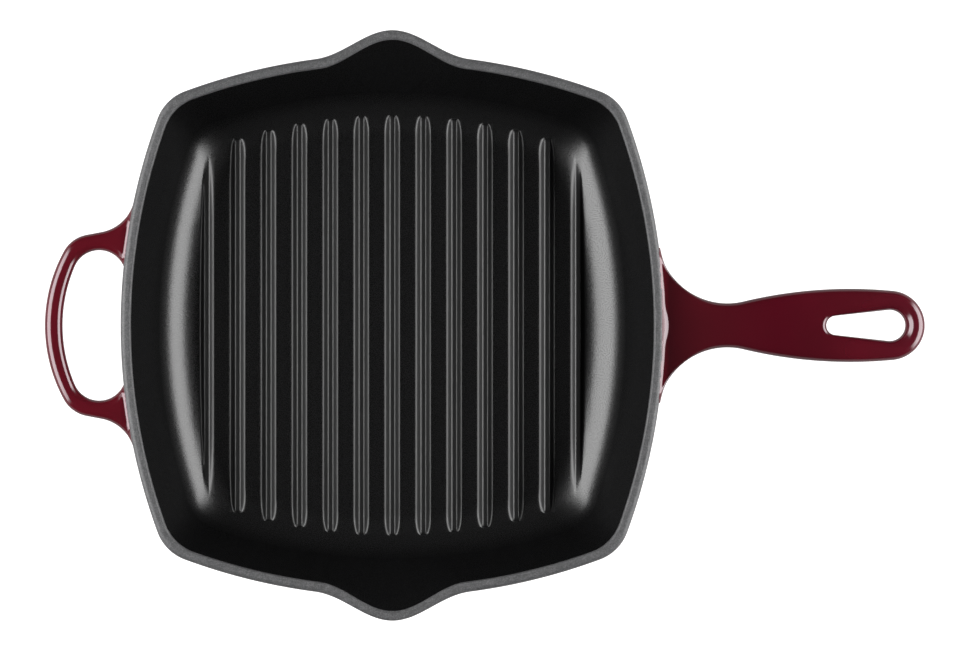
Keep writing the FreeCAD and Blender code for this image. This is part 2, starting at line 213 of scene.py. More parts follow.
def pan_round(side, corner, spout):
    """Legs and shares of a ring, with so many steps on each side, corner and spout side."""
    counts = [side, corner, spout, corner] * 2
    legs = np.concatenate([np.full(n, leg) for leg, n in enumerate(counts)])
    shares = np.concatenate([np.arange(n) / n for n in counts])
    return legs, shares


def ring_faces(levels, count, closed):
    """Four-cornered faces between rings that lie one after the other."""
    rows = np.arange(levels if closed else levels - 1)
    here = np.arange(count)
    after = (here + 1) % count
    lower = rows[:, None] * count
    upper = (rows[:, None] + 1) % levels * count
    return np.stack([lower + here, lower + after, upper + after, upper + here], axis=2).reshape(-1, 4)


def piece(name, points, faces, material):
    """A smooth mesh object from points in millimetres, with its edges sharp past the crease angle."""
    mesh = bpy.data.meshes.new(name)
    mesh.from_pydata((np.asarray(points) * MM).tolist(), [], [list(map(int, face)) for face in faces])
    mesh.validate()
    mesh.shade_smooth()
    mesh.set_sharp_from_angle(angle=CREASE)
    mesh.materials.append(material)
    made = bpy.data.objects.new(name, mesh)
    bpy.context.scene.collection.objects.link(made)
    return made


ground_coat, tree, shader = new_material("matt_grey_ground_coat")
speck = grain(tree, 1700.0, 3.0, 0.7)
cloud = grain(tree, 420.0, 2.0)
mixed = tree.nodes.new("ShaderNodeMath")
mixed.operation = "MULTIPLY_ADD"
mixed.inputs[1].default_value = CLOUD_SHARE
tree.links.new(cloud, mixed.inputs[0])
tree.links.new(speck, mixed.inputs[2])
greys = [(0.42, (0.035, 0.035, 0.036)), (0.62, (0.072, 0.072, 0.074)), (0.84, (0.144, 0.144, 0.148))]
tree.links.new(tint(tree, mixed.outputs["Value"], greys), shader.inputs["Base Color"])
tree.links.new(spread(tree, speck, 0.3, 0.7, 0.40, 0.54), shader.inputs["Roughness"])
tree.links.new(relief(tree, speck, 0.00009), shader.inputs["Normal"])
shader.inputs["IOR"].default_value = 1.5

legs, shares = pan_round(side=80, corner=30, spout=220)
skin = outer_profile(0.0, OUTER_LINE, PAN_HEIGHT)
skin = np.concatenate([skin, inner_profile(0.0, RIM_LINE, PAN_HEIGHT)[::-1]])
under = outer_profile(COAT, OUTER_LINE, PAN_HEIGHT - COAT)
under = np.concatenate([under, inner_profile(COAT, RIM_LINE, PAN_HEIGHT - COAT)[::-1]])
levels = np.concatenate([skin, under[::-1]])
rings = np.concatenate([outline(legs, shares, inset, z) for inset, z in levels])
rim = piece("rim_ground_coat", rings, ring_faces(len(levels), len(legs), True), ground_coat)
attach(rim, "root")
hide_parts("rim_enamel")

# Cooking surface: satin black glass over the floor, the ribs and the inside of the walls.
# The ribs are straight bars with a soft foot, and run out where the floor curves up into the walls.
RIB_PITCH = 15.5
RIB_COUNT = 13
LAST_RIB = (RIB_COUNT - 1) // 2
RIB_HEIGHT = 2.8
RIB_TOP = 2.5
RIB_FOOT = 6.8
RIB_EDGE = 0.9
RIB_FILLET = 1.9
RIB_END_INSET = 27.8
RIB_NOSE = 8.5
RIB_END_STEEPNESS = 3.0
OUTER_RIB_SINK = 0.3
RIB_ZONE = 4.0
RIB_ZONE_FADE = 0.4
RIB_ROUGHER = 0.09
PATCH_TOP = 14.0
COLUMN_CLEAR = 0.2
INSET_SEARCH = (5.0, 120.0)
HALVINGS = 40
# Heights in metres between which the coat's shine changes, and its shine at each place
DULL_FLOOR = (0.0056, 0.0064)
DULL_WALLS = (0.0135, 0.0190)
FLOOR_SHINE = 0.3
CURVE_SHINE = 0.5
WALL_SHINE = 0.05


def inset_at(x, y):
    """How far a point in plan lies in from the pan's widest outline, below the spouts."""
    x, y = np.abs(x), np.abs(y)
    near, far = np.full(x.shape, INSET_SEARCH[0]), np.full(x.shape, INSET_SEARCH[1])
    for _ in range(HALVINGS):
        trial = (near + far) / 2
        corner_x, corner_y, side_turn, back_turn = corner_of(trial)
        bow = SIDE_BOW - trial
        inside = (np.hypot(x - SIDE_X, y) < bow) & (np.hypot(x, y - BACK_Y) < bow)
        in_corner = (np.arctan2(y, x - SIDE_X) > side_turn) & (np.arctan2(y - BACK_Y, x) < back_turn)
        inside &= ~in_corner | (np.hypot(x - corner_x, y - corner_y) < CORNER)
        near = np.where(inside, trial, near)
        far = np.where(inside, far, trial)
    return near


floor_rise = inner_profile(0.0, FLOOR, RIM_LINE)
patch_inset = float(np.interp(PATCH_TOP, floor_rise[:, 1], floor_rise[:, 0]))
corner_x, corner_y, side_turn, back_turn = corner_of(patch_inset)
bow = SIDE_BOW - patch_inset
end_x = SIDE_X + bow * math.cos(side_turn)
end_y = bow * math.sin(side_turn)
half_x = bow * math.cos(back_turn)

# Columns crowd together on the ribs' edges and feet, and rows at the ribs' ends
edge_steps = [0.0, 0.7, 0.95, 1.1, 1.25, 1.4, 1.6, 1.9, 2.25, 2.6,
              2.85, 3.05, 3.25, 3.45, 3.7, 4.1, 5.0, 6.4, 7.75]
rib_middles = [rib * RIB_PITCH for rib in range(-LAST_RIB, LAST_RIB + 1)]
columns = {round(middle + side * step, 3)
           for middle in rib_middles for side in (-1, 1) for step in edge_steps}
columns = np.array(sorted(x for x in columns if abs(x) < end_x - COLUMN_CLEAR))
columns = np.concatenate([[-end_x], columns, [end_x]])
row_ends = np.concatenate([np.linspace(0.58, 0.80, 8)[:-1], np.linspace(0.80, 0.90, 14)[:-1],
                           np.linspace(0.90, 0.965, 21)[:-1], np.linspace(0.965, 1.0, 6)])
rows = np.concatenate([-row_ends[::-1], np.linspace(-row_ends[0], row_ends[0], 11)[1:-1], row_ends])
reach = np.where(np.abs(columns) <= half_x,
                 BACK_Y + np.sqrt(bow ** 2 - columns ** 2),
                 corner_y + np.sqrt(np.maximum(CORNER ** 2 - (np.abs(columns) - corner_x) ** 2, 0)))
reach[[0, -1]] = end_y
cap_steps = np.linspace(0, 1, 19)[1:]

grid_x = np.repeat(columns[:, None], len(rows), axis=1)
grid_y = reach[:, None] * rows[None, :]
cap_y = np.repeat(end_y * rows[None, 1:-1], len(cap_steps), axis=0)
cap_x = end_x + cap_steps[:, None] * (SIDE_X + np.sqrt(bow ** 2 - cap_y ** 2) - end_x)
plan = np.concatenate([np.stack([grid_x.ravel(), grid_y.ravel()], axis=1),
                       np.stack([cap_x.ravel(), cap_y.ravel()], axis=1),
                       np.stack([-cap_x.ravel(), cap_y.ravel()], axis=1)])
plan_z = np.interp(-inset_at(plan[:, 0], plan[:, 1]), -floor_rise[:, 0], floor_rise[:, 1])
patch = np.concatenate([plan, plan_z[:, None]], axis=1)

grid = np.arange(grid_x.size).reshape(grid_x.shape)
cap_right = grid.size + np.arange(cap_x.size).reshape(cap_x.shape)
cap_left = cap_right + cap_x.size
right = np.concatenate([grid[-1:, 1:-1], cap_right])
left = np.concatenate([grid[:1, 1:-1], cap_left])


def sheet_faces(table, flip=False):
    """Four-cornered faces over a table of point numbers."""
    corners = [table[:-1, :-1], table[1:, :-1], table[1:, 1:], table[:-1, 1:]]
    return np.stack(corners[::-1] if flip else corners, axis=2).reshape(-1, 4).tolist()


faces = sheet_faces(grid) + sheet_faces(right) + sheet_faces(left, True)
fans = ((right, grid[-1, 0], grid[-1, -1], False), (left, grid[0, 0], grid[0, -1], True))
for table, first, last, flip in fans:
    for a, b in zip(table[:-1, 0], table[1:, 0]):
        faces.append([a, b, first] if flip else [b, a, first])
    for a, b in zip(table[:-1, -1], table[1:, -1]):
        faces.append([b, a, last] if flip else [a, b, last])

# The patch's edge, counter-clockwise from the corner beside the long handle,
# and the place of each of its points on the pan's outline
edge = np.concatenate([[grid[-1, 0]], cap_right[-1], grid[::-1, -1],
                       cap_left[-1, ::-1], grid[:, 0][:-1]])
edge_x, edge_y = patch[edge, 0], patch[edge, 1]
on_spout_side = np.abs(edge_x) <= half_x
on_corner = ~on_spout_side & (np.abs(edge_y) >= end_y - 1e-6)
quarter_turn = np.arctan2(np.abs(edge_y) - corner_y, np.abs(edge_x) - corner_x)
corner_share = np.clip((quarter_turn - side_turn) / (back_turn - side_turn), 0, 1)
half_turn = np.where(on_spout_side | on_corner, edge_y < 0, edge_x < 0)
sign = np.where(half_turn, -1.0, 1.0)
first_corner = sign * edge_x > 0
corner_leg = np.where(first_corner, 1, 3)
edge_legs = np.where(on_spout_side, 2, np.where(on_corner, corner_leg, 0)) + 4 * half_turn
edge_shares = np.where(on_spout_side, (1 - sign * edge_x / half_x) / 2,
                       np.where(on_corner, np.where(first_corner, corner_share, 1 - corner_share),
                                (1 + np.arcsin(np.clip(sign * edge_y / bow, -1, 1)) / side_turn) / 2))

wall_levels = cut(floor_rise, PATCH_TOP, RIM_LINE)[1:]
# The coat's hidden back has only every fifth ring
back_levels = inner_profile(COAT, FLOOR - COAT, RIM_LINE)[::-1]
back_levels = np.concatenate([back_levels[:1], back_levels[1:-1:5], back_levels[-1:]])
levels = np.concatenate([wall_levels, back_levels])
rings = [outline(edge_legs, edge_shares, inset, z) for inset, z in levels]
last_ring = rings[-1]
middle = np.array([0.0, 0.0, FLOOR - COAT])
rings += [middle + (last_ring - middle) * share for share in (0.75, 0.5, 0.25)]
points = np.concatenate([patch] + rings + [middle[None]])
count = len(edge)
ring_start = len(patch)
for a in range(count):
    b = (a + 1) % count
    faces.append([ring_start + a, ring_start + b, edge[b], edge[a]])
faces += (ring_faces(len(rings), count, False)[:, ::-1] + ring_start).tolist()
pole = len(points) - 1
last_start = pole - count
faces += [[last_start + (a + 1) % count, last_start + a, pole] for a in range(count)]

black_enamel, tree, shader = new_material("satin_black_enamel")
peel = grain(tree, 420.0, 2.0)
pore = grain(tree, 2600.0, 0.0)
tree.links.new(tint(tree, peel, [(0.3, (0.0040, 0.0040, 0.0041)), (0.7, (0.0052, 0.0052, 0.0054))]),
               shader.inputs["Base Color"])
tree.links.new(relief(tree, pore, 0.000025, relief(tree, peel, 0.00003)), shader.inputs["Normal"])
shader.inputs["IOR"].default_value = 1.6
# The flat floor and the upper walls are duller than the ribs and the curve between
place = tree.nodes.new("ShaderNodeTexCoord")
axes = tree.nodes.new("ShaderNodeSeparateXYZ")
tree.links.new(place.outputs["Object"], axes.inputs["Vector"])
duller = tree.nodes.new("ShaderNodeMath")
duller.operation = "MINIMUM"
tree.links.new(spread(tree, axes.outputs["Z"], *DULL_FLOOR, FLOOR_SHINE, CURVE_SHINE), duller.inputs[0])
tree.links.new(spread(tree, axes.outputs["Z"], *DULL_WALLS, CURVE_SHINE, WALL_SHINE), duller.inputs[1])
tree.links.new(duller.outputs["Value"], shader.inputs["Specular IOR Level"])
# The ribs are a little rougher than the rest
worn = tree.nodes.new("ShaderNodeMath")
worn.operation = "MULTIPLY_ADD"
worn.inputs[1].default_value = RIB_ROUGHER
on_rib = tree.nodes.new("ShaderNodeAttribute")
on_rib.attribute_name = "on_rib"
tree.links.new(on_rib.outputs["Fac"], worn.inputs[0])
tree.links.new(spread(tree, pore, 0.3, 0.7, 0.24, 0.30), worn.inputs[2])
tree.links.new(worn.outputs["Value"], shader.inputs["Roughness"])

interior = piece("black_interior", points, faces, black_enamel)
cooking_face = interior.data.attributes.new("cooking_face", "BOOLEAN", "POINT")
cooking_face.data.foreach_set("value", np.arange(len(points)) < ring_start)
# For each point of the floor: how far it is to the end of its nearest rib, and how high that rib's foot is
rib_x = RIB_PITCH * np.clip(np.round(plan[:, 0] / RIB_PITCH), -LAST_RIB, LAST_RIB)
rib_inset = inset_at(rib_x, plan[:, 1])
rib_foot = np.interp(-rib_inset, -floor_rise[:, 0], floor_rise[:, 1])
# The two outer ribs keep their height, and run out to a point in the curve beside them
outermost = np.abs(rib_x) > (LAST_RIB - 0.5) * RIB_PITCH
to_end = np.where(outermost, RIB_NOSE, rib_inset - RIB_END_INSET)
rib_foot = np.where(outermost, FLOOR - OUTER_RIB_SINK, rib_foot)
# How far each point belongs to a rib, where the coat is rougher
across_rib = np.abs(plan[:, 0] - rib_x)
rib_share = np.clip((RIB_ZONE - across_rib) / RIB_ZONE_FADE, 0, 1)
rib_share = rib_share * (to_end > 0) * (plan_z < rib_foot + RIB_HEIGHT)
elsewhere = np.zeros(len(points) - ring_start)
rib_values = {"to_rib_end": to_end * MM, "rib_foot_height": rib_foot * MM, "on_rib": rib_share}
for name, values in rib_values.items():
    layer = interior.data.attributes.new(name, "FLOAT", "POINT")
    layer.data.foreach_set("value", np.concatenate([values, elsewhere]))

rib_tree = bpy.data.node_groups.new("raise_ribs", "GeometryNodeTree")
add_socket = rib_tree.interface.new_socket
add_socket(name="Pan floor", in_out="INPUT", socket_type="NodeSocketGeometry")
rib_sizes = {"Rib pitch": RIB_PITCH * MM, "Outermost rib": float(LAST_RIB),
             "Rib height": RIB_HEIGHT * MM,
             "Half top width": RIB_TOP / 2 * MM, "Half foot width": RIB_FOOT / 2 * MM,
             "Edge rounding": RIB_EDGE * MM, "Foot rounding": RIB_FILLET * MM,
             "Nose length": RIB_NOSE * MM, "End steepness": RIB_END_STEEPNESS}
rib_sockets = {name: add_socket(name=name, in_out="INPUT", socket_type="NodeSocketFloat")
               for name in rib_sizes}
enamel_socket = add_socket(name="Enamel", in_out="INPUT", socket_type="NodeSocketMaterial")
add_socket(name="Ribbed floor", in_out="OUTPUT", socket_type="NodeSocketGeometry")
sizes_in = rib_tree.nodes.new("NodeGroupInput").outputs


def work(operation, *values):
    """One step of arithmetic in the rib tree, on sockets and plain numbers."""
    node = rib_tree.nodes.new("ShaderNodeMath")
    node.operation = operation
    for socket, value in zip(node.inputs, values):
        if isinstance(value, (int, float)):
            socket.default_value = value
        else:
            rib_tree.links.new(value, socket)
    return node.outputs["Value"]


position = rib_tree.nodes.new("GeometryNodeInputPosition")
apart = rib_tree.nodes.new("ShaderNodeSeparateXYZ")
rib_tree.links.new(position.outputs["Position"], apart.inputs["Vector"])
nearest = work("ROUND", work("DIVIDE", apart.outputs["X"], sizes_in["Rib pitch"]))
nearest = work("MINIMUM", nearest, sizes_in["Outermost rib"])
nearest = work("MAXIMUM", nearest, work("MULTIPLY", sizes_in["Outermost rib"], -1.0))
rib_middle = work("MULTIPLY", nearest, sizes_in["Rib pitch"])
across = work("ABSOLUTE", work("SUBTRACT", apart.outputs["X"], rib_middle))
steepness = work("DIVIDE", sizes_in["Rib height"],
                 work("SUBTRACT", sizes_in["Half foot width"], sizes_in["Half top width"]))
flank = work("MULTIPLY", work("SUBTRACT", sizes_in["Half foot width"], across), steepness)
bar = work("SMOOTH_MIN", sizes_in["Rib height"], flank, sizes_in["Edge rounding"])
# Near its end a rib sinks along a quarter of an ellipse, so that its flanks draw in to a blunt nose
along_rib = {}
for name in ("to_rib_end", "rib_foot_height"):
    stored = rib_tree.nodes.new("GeometryNodeInputNamedAttribute")
    stored.data_type = "FLOAT"
    stored.inputs["Name"].default_value = name
    along_rib[name] = stored.outputs["Attribute"]
to_nose = work("DIVIDE", work("MAXIMUM", along_rib["to_rib_end"], 0.0), sizes_in["Nose length"])
short = work("SUBTRACT", 1.0, work("MINIMUM", to_nose, 1.0))
nose = work("SQRT", work("SUBTRACT", 1.0, work("MULTIPLY", short, short)))
sunk = work("MULTIPLY", sizes_in["Rib height"], work("SUBTRACT", 1.0, nose))
past_end = work("MAXIMUM", work("MULTIPLY", along_rib["to_rib_end"], -1.0), 0.0)
sunk = work("MULTIPLY_ADD", past_end, sizes_in["End steepness"], sunk)
rib_surface = work("ADD", along_rib["rib_foot_height"], work("SUBTRACT", bar, sunk))
surface = work("SMOOTH_MAX", apart.outputs["Z"], rib_surface, sizes_in["Foot rounding"])
together = rib_tree.nodes.new("ShaderNodeCombineXYZ")
rib_tree.links.new(apart.outputs["X"], together.inputs["X"])
rib_tree.links.new(apart.outputs["Y"], together.inputs["Y"])
rib_tree.links.new(surface, together.inputs["Z"])
on_face = rib_tree.nodes.new("GeometryNodeInputNamedAttribute")
on_face.data_type = "BOOLEAN"
on_face.inputs["Name"].default_value = "cooking_face"
raised = rib_tree.nodes.new("GeometryNodeSetPosition")
rib_tree.links.new(sizes_in["Pan floor"], raised.inputs["Geometry"])
rib_tree.links.new(on_face.outputs["Attribute"], raised.inputs["Selection"])
rib_tree.links.new(together.outputs["Vector"], raised.inputs["Position"])
realized = rib_tree.nodes.new("GeometryNodeRealizeInstances")
rib_tree.links.new(raised.outputs["Geometry"], realized.inputs["Geometry"])
coated = rib_tree.nodes.new("GeometryNodeSetMaterial")
rib_tree.links.new(realized.outputs["Geometry"], coated.inputs["Geometry"])
rib_tree.links.new(sizes_in["Enamel"], coated.inputs["Material"])
rib_out = rib_tree.nodes.new("NodeGroupOutput")
rib_tree.links.new(coated.outputs["Geometry"], rib_out.inputs["Ribbed floor"])

ribbing = interior.modifiers.new("ribs", "NODES")
ribbing.node_group = rib_tree
for name, value in rib_sizes.items():
    ribbing[rib_sockets[name].identifier] = value
ribbing[enamel_socket.identifier] = black_enamel
ribbed = interior.evaluated_get(bpy.context.evaluated_depsgraph_get())
ribbed_mesh = bpy.data.meshes.new_from_object(ribbed)
interior.modifiers.remove(ribbing)
interior.data = ribbed_mesh
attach(interior, "root")
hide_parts("interior_enamel")

# Outside of the walls: glossy burgundy glass, sprayed on and fired over the ground coat.
# It runs from the base fillet up to a fine line just under the rim's bare ring.
burgundy, tree, shader = new_material("burgundy_enamel")
pool = grain(tree, 26.0, 2.0)
wave = grain(tree, 330.0, 1.0)
fleck = grain(tree, 1400.0, 2.0)
place = tree.nodes.new("ShaderNodeTexCoord")
axes = tree.nodes.new("ShaderNodeSeparateXYZ")
tree.links.new(place.outputs["Object"], axes.inputs["Vector"])
# Painted shade along the long handle: its colour is darkest just past the root beside the wall, lighter
# out along the neck and grip, and a little darker at the round end
along = spread(tree, axes.outputs["X"], 0.125, 0.265, 0.0, 1.0)
painted_handle_shade = tint(tree, along, [(0.0, (0.099, 0.0035, 0.0095)), (0.04, (0.099, 0.0035, 0.0095)),
                          (0.075, (0.030, 0.0012, 0.0034)), (0.19, (0.060, 0.0026, 0.0066)),
                          (0.45, (0.064, 0.0006, 0.0058)), (0.75, (0.086, 0.0032, 0.0094)),
                          (1.0, (0.074, 0.0046, 0.0108))])
pool_tone = tint(tree, pool, [(0.3, (0.74, 0.70, 0.72)), (0.7, (1.0, 1.0, 1.0))])
blend = tree.nodes.new("ShaderNodeMix")
blend.data_type = "RGBA"
blend.blend_type = "MULTIPLY"
blend.inputs["Factor"].default_value = 1.0
# A mix of colours takes them at its sockets 6 and 7, and gives the result at 2
tree.links.new(painted_handle_shade, blend.inputs[6])
tree.links.new(pool_tone, blend.inputs[7])
tree.links.new(blend.outputs[2], shader.inputs["Base Color"])
tree.links.new(spread(tree, fleck, 0.3, 0.7, 0.10, 0.16), shader.inputs["Roughness"])
tree.links.new(relief(tree, fleck, 0.000004, relief(tree, wave, 0.000022)), shader.inputs["Normal"])
shader.inputs["IOR"].default_value = 1.75
shader.inputs["Specular Tint"].default_value = (1.0, 0.92, 0.96, 1.0)

BASE_LINE = COAT
# The coat's hidden back has only every third ring
back_levels = outer_profile(COAT, BASE_LINE, OUTER_LINE)[::-1]
back_levels = np.concatenate([back_levels[:1], back_levels[1:-1:3], back_levels[-1:]])
levels = np.concatenate([outer_profile(0.0, BASE_LINE, OUTER_LINE), back_levels])
rings = np.concatenate([outline(legs, shares, inset, z) for inset, z in levels])
wall = piece("burgundy_wall", rings, ring_faces(len(levels), len(legs), True), burgundy)
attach(wall, "root")
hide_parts("wall_enamel")

# Base: the same burgundy glass under the flat face that the pan stands on.
# The coat turns up at its edge into the base fillet, where the wall's coat takes over.
foot = outer_profile(0.0, 0.0, BASE_LINE)
rings = [outline(legs, shares, inset, z) for inset, z in foot]
shares_in = (0.8, 0.6, 0.4, 0.2)
top_rings = [rings[-1] * (share, share, 1) for share in shares_in]
bottom_rings = [rings[0] * (share, share, 1) for share in shares_in]
rings = bottom_rings[::-1] + rings + top_rings
points = np.concatenate(rings + [[[0.0, 0.0, 0.0], [0.0, 0.0, BASE_LINE]]])
count = len(legs)
faces = ring_faces(len(rings), count, False).tolist()
bottom_pole, top_pole = len(points) - 2, len(points) - 1
top_start = bottom_pole - count
faces += [[(a + 1) % count, a, bottom_pole] for a in range(count)]
faces += [[top_start + a, top_start + (a + 1) % count, top_pole] for a in range(count)]
base = piece("burgundy_base", points, faces, burgundy)
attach(base, "root")
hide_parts("base_enamel")

# Long handle: cast with the pan, waisted at the neck, with a round end and a teardrop hanging eye.
# Its burgundy coat runs over rounded edges and flows up the wall in a soft fillet.
ROOT_SINK = 2.6
# Where the handles' fillets fade out below the rim, and how thinly their skin covers wall and rim
FILLET_STOP = 2.0
FILLET_FADE = 2.5
LEAST_FILLET = 0.02
FILLET_SHARE = 0.97
OVER_WALL = 0.03
OVER_RIM = 0.05
OVER_RIM_FADE = 2.0
WELL_INSIDE = -1.0
# How the points of a skin settle on its surface
SETTLE_ROUNDS = 4
SLOPE_STEP = 0.02
LEAST_SLOPE = 0.3
SETTLE_LIMIT = 0.3


def beyond_rim(x, y):
    """How far a point in plan lies outside the widest line of the sides that carry the handles."""
    return np.hypot(np.abs(x) - SIDE_X, y) - SIDE_BOW


def wall_distance(x, y, z):
    """How far a point lies outside the pan's leaning wall."""
    return (OUTER_EDGE + (PAN_HEIGHT - z) * math.tan(LEAN) + beyond_rim(x, y)) * math.cos(LEAN)


def body_distance(x, y, z):
    """How far a point lies outside the pan's wall and its rounded rim."""
    aside, up = -beyond_rim(x, y) - RIM_OUTER, z - (PAN_HEIGHT - RIM_OUTER)
    turn = np.arctan2(up, aside) % math.tau
    at_edge = (turn > math.pi / 2) & (turn < math.pi + LEAN)
    flat = np.maximum(wall_distance(x, y, z), z - PAN_HEIGHT)
    return np.where(at_edge, np.hypot(aside, up) - RIM_OUTER, flat)


def rounded_plate(plan_gap, top_gap, bottom_gap, radius):
    """Distance to a plate from its plan's gap and its two faces' gaps, with its edges rounded."""
    side = plan_gap + radius
    face = np.maximum(top_gap, bottom_gap) + radius
    corner = np.hypot(np.maximum(side, 0), np.maximum(face, 0))
    return np.minimum(np.maximum(side, face), 0) + corner - radius


def swept_top(x, y, w, drop, rise, start_tilt):
    """Gap over a handle's top face, which follows the rounded rim and sweeps out of it in a hollow."""
    out = beyond_rim(x, y)
    start = -RIM_OUTER * (1 - math.sin(start_tilt))
    height = drop - RIM_OUTER * (1 - math.cos(start_tilt)) - start * math.tan(rise)
    reach = 2 * height / (math.tan(start_tilt) + math.tan(rise))
    left = np.clip(1 - (out - start) / reach, 0, 1)
    aside = np.clip(RIM_OUTER + out, 0, RIM_OUTER * math.sin(start_tilt))
    on_rim = np.sqrt(RIM_OUTER ** 2 - aside ** 2) - RIM_OUTER * math.cos(start_tilt)
    on_rim = on_rim + np.maximum(start - out, 0) * math.tan(rise)
    slope = 2 * height / reach * left
    return (w - height * left ** 2 - on_rim) / np.sqrt(1 + slope ** 2)


def ease(share):
    """Smooth step from 0 to 1."""
    share = np.clip(share, 0, 1)
    return share * share * (3 - 2 * share)


def melt(a, b, reach):
    """Join two shapes with a fillet of that reach."""
    share = np.maximum(reach - np.abs(a - b), 0) / reach
    return np.minimum(a, b) - share ** 2 * reach / 4


def handle_space(x, z, drop, rise):
    """Reach out from the rim and height over the top face, for a handle that tips up from its root."""
    out, up = np.abs(x) - PAN_WIDTH / 2, z - (PAN_HEIGHT - drop)
    return (out * math.cos(rise) + up * math.sin(rise), up * math.cos(rise) - out * math.sin(rise))


def skinned(distance, low, high, step):
    """Closed skin of four-cornered faces where a distance turns from inside to outside."""
    axes = [np.arange(a, b + step, step) for a, b in zip(low, high)]
    field = distance(*np.meshgrid(*axes, indexing="ij"))
    inside = field < 0
    sizes = np.array(field.shape)
    total = np.zeros(tuple(sizes - 1) + (3,))
    hits = np.zeros(tuple(sizes - 1))
    quads = []
    number = np.arange(np.prod(sizes - 1)).reshape(sizes - 1)
    for axis in range(3):
        near = [slice(None)] * 3
        far = [slice(None)] * 3
        near[axis], far[axis] = slice(None, -1), slice(1, None)
        a, b = field[tuple(near)], field[tuple(far)]
        crossed = np.argwhere(inside[tuple(near)] != inside[tuple(far)])
        value_a, value_b = a[tuple(crossed.T)], b[tuple(crossed.T)]
        spot = crossed.astype(float)
        spot[:, axis] += value_a / (value_a - value_b)
        others = [i for i in range(3) if i != axis]
        keep = np.all([(crossed[:, i] > 0) & (crossed[:, i] < sizes[i] - 1) for i in others], axis=0)
        crossed, spot, value_a = crossed[keep], spot[keep], value_a[keep]
        corner_cells = []
        for back_one, back_two in ((1, 1), (0, 1), (0, 0), (1, 0)):
            cell = crossed.copy()
            cell[:, others[0]] -= back_one
            cell[:, others[1]] -= back_two
            np.add.at(total, tuple(cell.T), spot)
            np.add.at(hits, tuple(cell.T), 1)
            corner_cells.append(number[tuple(cell.T)])
        quad = np.stack(corner_cells, axis=1)
        turn_round = (value_a < 0) == (axis == 1)
        quad[turn_round] = quad[turn_round, ::-1]
        quads.append(quad)
    quads = np.concatenate(quads)
    used = np.unique(quads)
    points = total.reshape(-1, 3)[used] / hits.reshape(-1, 1)[used] * step + np.array(low)
    fresh = np.zeros(number.size, int)
    fresh[used] = np.arange(len(used))
    # Each point then settles on the surface, a small way at a time
    limit = SETTLE_LIMIT * step
    for _ in range(SETTLE_ROUNDS):
        here = distance(*points.T)
        slope = np.stack([distance(*(points + shift).T) - distance(*(points - shift).T)
                          for shift in np.eye(3) * SLOPE_STEP], axis=1) / (2 * SLOPE_STEP)
        size = np.maximum((slope ** 2).sum(axis=1), LEAST_SLOPE)
        points = points - np.clip(here / size, -limit, limit)[:, None] * slope
    return points, fresh[quads]


LONG_LENGTH = 126.7
LONG_THICKNESS = 12.0
LONG_EDGE = 4.5
LONG_DROP = 3.6
HANDLE_RISE = math.radians(5.0)
NECK_RADIUS = 34.2
NECK_REACH = 31.0
NECK_HALF = 10.8
NECK_CENTRE = (NECK_REACH, NECK_HALF + NECK_RADIUS)
GRIP_REACH = 90.4
GRIP_HALF = 17.9
FLARE_TURN = math.radians(-166.0)
EYE_END = (109.9, 7.6)
EYE_POINT = (83.7, 4.7)
EYE_EDGE = 5.0
EYE_END_EDGE = 5.4
EYE_POINT_EDGE = 2.6
ROOT_FILLET = 3.5
ROOT_TILT = math.radians(46.5)
ROOT_COVER = 1.3
MIDDLE_RISE = 0.35
SHOULDER_RISE = 1.95
SHOULDER_HALF = 11.0
SHOULDER_FADE = 16.0
FLARE_EDGE = 0.8
FLARE_EDGE_REACH = (5.0, 27.0)
LONG_BOX = ((118, -46, 18), (262, 46, 54))
LONG_STEP = 0.6
neck_span = GRIP_REACH - NECK_REACH
bow_rest = neck_span ** 2 + (NECK_CENTRE[1] - GRIP_HALF) ** 2 - NECK_RADIUS ** 2
grip_bow = bow_rest / (2 * (GRIP_HALF - NECK_HALF))
tail = LONG_LENGTH - GRIP_REACH
end_radius = (grip_bow ** 2 - tail ** 2 - (grip_bow - GRIP_HALF) ** 2) / (2 * (grip_bow - tail))


def long_plan(u, v):
    """Distance outside the long handle's outline in plan."""
    v = np.abs(v)
    bow_y = GRIP_HALF - grip_bow
    end_x = LONG_LENGTH - end_radius
    turn = np.arctan2(v - bow_y, u - GRIP_REACH)
    end_turn = math.atan2(-bow_y, end_x - GRIP_REACH)
    neck_turn = math.atan2(NECK_CENTRE[1] - bow_y, NECK_CENTRE[0] - GRIP_REACH)
    at_neck = NECK_RADIUS - np.hypot(u - NECK_CENTRE[0], v - NECK_CENTRE[1])
    flare = v - (NECK_CENTRE[1] + NECK_RADIUS * math.sin(FLARE_TURN))
    flare_x = NECK_CENTRE[0] + NECK_RADIUS * math.cos(FLARE_TURN)
    root_side = np.where(u < flare_x, flare, at_neck)
    return np.select([turn < end_turn, turn < neck_turn],
                     [np.hypot(u - end_x, v) - end_radius,
                      np.hypot(u - GRIP_REACH, v - bow_y) - grip_bow], root_side)


def eye_plan(u, v):
    """Distance outside the teardrop eye in plan."""
    v = np.abs(v)
    gap = EYE_END[0] - EYE_POINT[0]
    lean = (EYE_POINT[1] - EYE_END[1]) / gap
    upright = math.sqrt(1 - lean ** 2)
    at_end = np.hypot(u - EYE_END[0], v) - EYE_END[1]
    at_point = np.hypot(u - EYE_POINT[0], v) - EYE_POINT[1]
    flank = (u - EYE_POINT[0]) * lean + v * upright - EYE_POINT[1]
    share = (u - EYE_POINT[0]) * upright - v * lean
    return np.where(share < 0, at_point, np.where(share > gap * upright, at_end, flank))


